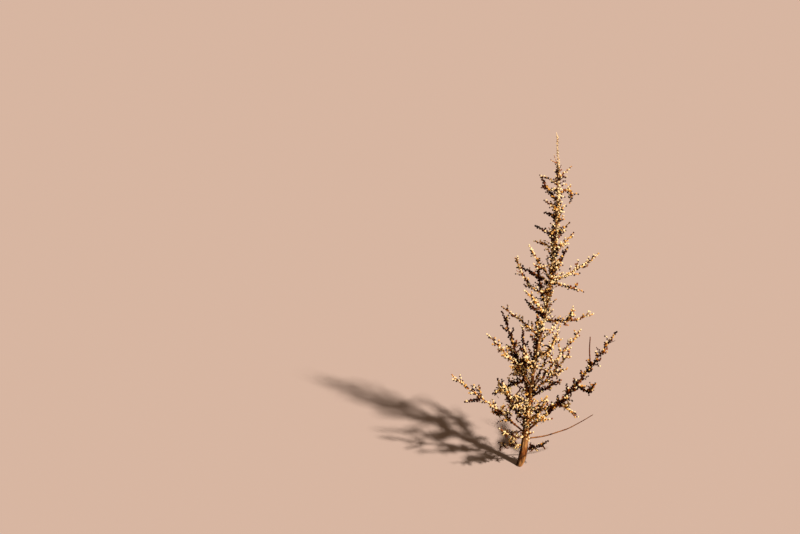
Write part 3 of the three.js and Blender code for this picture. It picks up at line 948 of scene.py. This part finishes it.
hosts = [one for one in strings if one["order"] < 2 and one["line"][0, 2] < LEAVES_TO]
hosts = [one for one in hosts if off(STEM_LINE, one["line"][0]) < LEAVES_WITHIN]
leaves = wandering(leaf_lines(hosts, np.random.default_rng(SEED + 50)))
leaf_share = np.linspace(0, 1, LEAF_ROWS)[None, :, None]
leaf_width = LEAF_SECTION * (0.35 + 1.3 * leaf_share * (1.2 - leaf_share))
bleached_leaf = np.arange(LEAVES) % 2 == 0
for name, dark, light, mine in (
    ("leaves_brown", "120602", "5A2E12", ~bleached_leaf),
    ("leaves_straw", "7A4C1E", "F0D090", bleached_leaf),
):
    straps = rings_round(leaves[mine], leaf_width * np.ones((len(leaves[mine]), 1, 1)))
    finish = twig_finish(name, dark, light)
    straps_made = piece(name, *sleeves(straps), finish, True, {"painted_light": facing_key_light(straps)})
    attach(straps_made, "root")

# The husks
# Seed clusters, strung on every twig like small knobbly beads, close against it all round. Each is a
# tuft of papery husks that meet at their points, five-lobed collars drawn up round a seed, dried from
# cream to nearly black. Values in threes go by how fine the twig is, but CROWDING by kind of spray.
CLUSTER_PITCH = (1.15, 1.35, 1.6)
FIRST_CLUSTER = (1.6, 0.9, 0.9)
STAND_OFF = (0.75, 0.7, 0.65)
TIP_SHRINK = (0.15, 0.1, 0.1)
CROWDING = (1.0, 1.0, 1.2)
CLUSTER_SIZES = (0.85, 1.12)
CLUSTER_LEAN = (10, 45)
CLUSTER_HUSKS = 6
HUSKS_APART = (50, 85)
HUSK_RADIUS = 0.84
HUSK_SIZES = (0.8, 1.1)
HUSK_UNEVEN = 0.16


def husk_shape():
    """One husk, pointing up: ten rim points, every other one a lobe drawn out and lifted, the top of
    the seed over their middle, and its foot, a point, under it."""
    turn = np.arange(10) * np.pi / 5
    lobe = np.arange(10) % 2 == 0
    reach = np.where(lobe, 1.0, 0.58)
    rim = np.stack([reach * np.cos(turn), reach * np.sin(turn), np.where(lobe, 0.22, 0.06)], -1)
    points = np.vstack([rim, [[0, 0, 0.42], [0, 0, -0.7]]])
    here = np.arange(10)
    onward = (here + 1) % 10
    over = np.stack([here, onward, np.full(10, 10)], -1)
    under = np.stack([onward, here, np.full(10, 11)], -1)
    return points, np.vstack([over, under])


def square_to(ahead, spun):
    """Two directions square to each direction and to each other, the first also square to spun."""
    side = np.cross(ahead, spun)
    side /= np.linalg.norm(side, axis=-1, keepdims=True)
    return side, np.cross(ahead, side)


def husks_at(centres, outward, sizes, random):
    """A husk set at each centre with its up along outward, spun by chance, at its size, and each
    point of each husk pushed a little by chance."""
    points, triangles = husk_shape()
    side, over = square_to(outward, random.normal(size=outward.shape))
    turned = np.stack([side, over, outward], axis=1)
    push = random.uniform(1 - HUSK_UNEVEN, 1 + HUSK_UNEVEN, (len(centres), len(points), 3))
    pushed = points[None] * push
    placed = centres[:, None] + np.einsum("npk,nkc->npc", pushed * sizes[:, None, None], turned)
    numbered = triangles[None] + len(points) * np.arange(len(centres))[:, None, None]
    return placed.reshape(-1, 3), numbered.reshape(-1, 3)


chance = np.random.default_rng(SEED + 20)
clusters = []
for one in strings:
    if one["naked"]:
        continue
    order = one["order"]
    end = one["length"] - 0.01
    first = min(one["start"] + FIRST_CLUSTER[order], end)
    crowding = CROWDING[one["kind"]] if order < 2 else 1.0
    count = int(round((end - first) / CLUSTER_PITCH[order] * crowding))
    for n in range(count + 1):
        if chance.uniform() > one["full"]:
            continue
        distance = first + (end - first) * n / max(count, 1)
        point, direction = along(one["line"], distance)
        tip = distance / one["length"]
        size = chance.uniform(*CLUSTER_SIZES) * (1.06 - 0.1 * tip - 0.06 * order) * crowding
        size = size * (1 - TIP_SHRINK[order] * smoothstep(tip, 0.6, 1.0))
        size = size * (1 - 0.5 * smoothstep(point[2], *SPIRE))
        stand_off = STAND_OFF[order] * (1 - 0.5 * tip ** 3)
        clusters.append((*point, *direction, size, one["kind"], tip, n, stand_off))
centre, ahead, size, kind, tip, number, stand_off = np.split(np.array(clusters), [3, 6, 7, 8, 9, 10], axis=1)
side, over = square_to(ahead, ASKEW)
turn = number * GOLDEN_ANGLE + chance.uniform(-0.4, 0.4, number.shape)
lean = np.radians(chance.uniform(*CLUSTER_LEAN, number.shape) + 35 * tip ** 3)
radial = swung(side, over, turn)
outward = swung(radial, ahead, lean)
centre = wandering(centre) + radial * stand_off * size
side, over = square_to(outward, ahead + 0.01)
round_turn = np.arange(CLUSTER_HUSKS) + chance.uniform(-0.25, 0.25, (len(turn), CLUSTER_HUSKS))
round_turn = (2 * np.pi / (CLUSTER_HUSKS - 1) * round_turn + turn)[..., None]
apart = np.radians(chance.uniform(*HUSKS_APART, round_turn.shape))
apart[:, 0] *= 0.2
tuft = swung(side[:, None], over[:, None], round_turn)
tuft = swung(outward[:, None], tuft, apart)
husk_size = HUSK_RADIUS * size * chance.uniform(*HUSK_SIZES, (len(size), CLUSTER_HUSKS))
place = centre[:, None] + tuft * (0.5 * husk_size)[..., None]

# Shares of each husk colour in the three kinds of spray. Clusters facing the key light are painted
# paler and those turned away darker, as painted highlight and painted shade; tips and some stretches
# are paler, and every other cluster along a twig is darker than the one before it. The umber sprays vary
# least.
HUSK_COLOURS = {
    "husks_cream": ("F6DA9E", "FFF0C8", "seed_straw"),
    "husks_straw": ("DCA048", "F2C874", "seed_straw"),
    "husks_gold": ("B47020", "D89C40", "seed_gold"),
    "husks_rust": ("783006", "A05212", "seed_gold"),
    "husks_umber": ("2A0D02", "461903", "seed_umber"),
    "husks_dark": ("0E0301", "1C0802", "seed_umber"),
}
HUSK_SHARES = np.array([
    [0.28, 0.26, 0.15, 0.10, 0.12, 0.09],
    [0.11, 0.22, 0.30, 0.19, 0.11, 0.07],
    [0.012, 0.028, 0.04, 0.09, 0.49, 0.34],
])
BLEACHING_AND_PAINTED_LIGHT = np.array([3.2, 1.9, 0.4, -0.8, -2.2, -3.2])
SHADED = 0.35
PATCHINESS = 0.35
PALE_TIPS = 0.6
ALTERNATION = 0.7
CONTRAST = np.array([1.0, 1.0, 0.4])
COLOURS_MIXED = 0.04


def husk_finish(name, deep, light):
    """Papery husk: nearly plain, mottled between two near tones, matt, with fine wrinkles in relief."""
    material, shader, place = new_finish(name, 0.88)
    tone = noise(place, (1, 1, 1), 0.8, 2.0).between(0.35, 0.65)
    tone.blend(paint(deep), paint(light)).feed(shader, "Base Color")
    noise(place, (1, 1, 1), 0.18, 2.0).relief(0.35, 0.06).feed(shader, "Normal")
    return material


courses = np.array([[0.9, 0.4, 0.1], [-0.5, 0.8, 0.3], [0.1, -0.4, 0.8]]) / 3.4
patches = np.sin(centre @ courses).sum(axis=1) / 2
# Painted highlight and shade: a cluster facing the key light draws paler husk colours, one turned away
# darker ones.
weathering_and_painted_light = outward @ KEY_LIGHT_SIDE - SHADED + PATCHINESS * patches + PALE_TIPS * (tip[:, 0] - 0.5)
weathering_and_painted_light = weathering_and_painted_light + ALTERNATION * np.cos(np.pi * number[:, 0])
kind = kind[:, 0].astype(int)
weathering_and_painted_light = weathering_and_painted_light * CONTRAST[kind]
shares = HUSK_SHARES[kind] * np.exp(weathering_and_painted_light[:, None] * BLEACHING_AND_PAINTED_LIGHT)
limits = np.cumsum(shares / shares.sum(axis=1, keepdims=True), axis=1)
drawn = chance.uniform(size=(len(clusters), 1))
astray = chance.uniform(-COLOURS_MIXED, COLOURS_MIXED, (len(clusters), CLUSTER_HUSKS))
colour = (np.clip(drawn + astray, 0, 0.9999)[..., None] > limits[:, None]).sum(axis=-1)
for k, (name, (deep, light, slot)) in enumerate(HUSK_COLOURS.items()):
    mine = colour == k
    shape = husks_at(place[mine], tuft[mine], husk_size[mine], chance)
    husks = piece(name, *shape, husk_finish(name, deep, light), False)
    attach(husks, "root")

# The floor, the light and the camera
# A plain pale floor, a soft light high on the right in front, a pale room all round, and the camera
# at the photograph's height and angle.
FLOOR_COLOUR = "AA9791"
LIGHT_AZIMUTH = -36
LIGHT_ELEVATION = 50
LIGHT_SOFTNESS = 3.5
LIGHT_POWER = 6.2
LIGHT_COLOUR = "FFF4E4"
ROOM_COLOUR = "F0CEA8"
ROOM_POWER = 0.22
CAMERA_PLACE = (-0.1053, -1.1308, 0.7993)
CAMERA_PITCH = 28
CAMERA_LENS = 70
floor_mesh = bpy.data.meshes.new("floor")
floor_mesh.from_pydata([(-6, -6, 0), (6, -6, 0), (6, 6, 0), (-6, 6, 0)], [], [(0, 1, 2, 3)])
floor_finish, floor_shader, _ = new_finish("floor", 0.9)
floor_shader.inputs["Base Color"].default_value = paint(FLOOR_COLOUR)
floor_mesh.materials.append(floor_finish)
floor = in_scene("floor", floor_mesh)

lamp = bpy.data.lights.new("key", "SUN")
lamp.angle = math.radians(LIGHT_SOFTNESS)
lamp.energy = LIGHT_POWER
lamp.color = paint(LIGHT_COLOUR)[:3]
in_scene("key", lamp).rotation_euler = np.radians([90 - LIGHT_ELEVATION, 0, LIGHT_AZIMUTH + 90])
world = bpy.data.worlds.new("room")
world.use_nodes = True
room = world.node_tree.nodes["Background"]
room.inputs["Color"].default_value = paint(ROOM_COLOUR)
room.inputs["Strength"].default_value = ROOM_POWER
bpy.context.scene.world = world
bpy.context.scene.view_settings.view_transform = "Standard"

camera_data = bpy.data.cameras.new("camera")
camera_data.lens = CAMERA_LENS
camera = in_scene("camera", camera_data)
camera.location = CAMERA_PLACE
camera.rotation_euler = np.radians([90 - CAMERA_PITCH, 0, 0])
bpy.context.scene.camera = camera
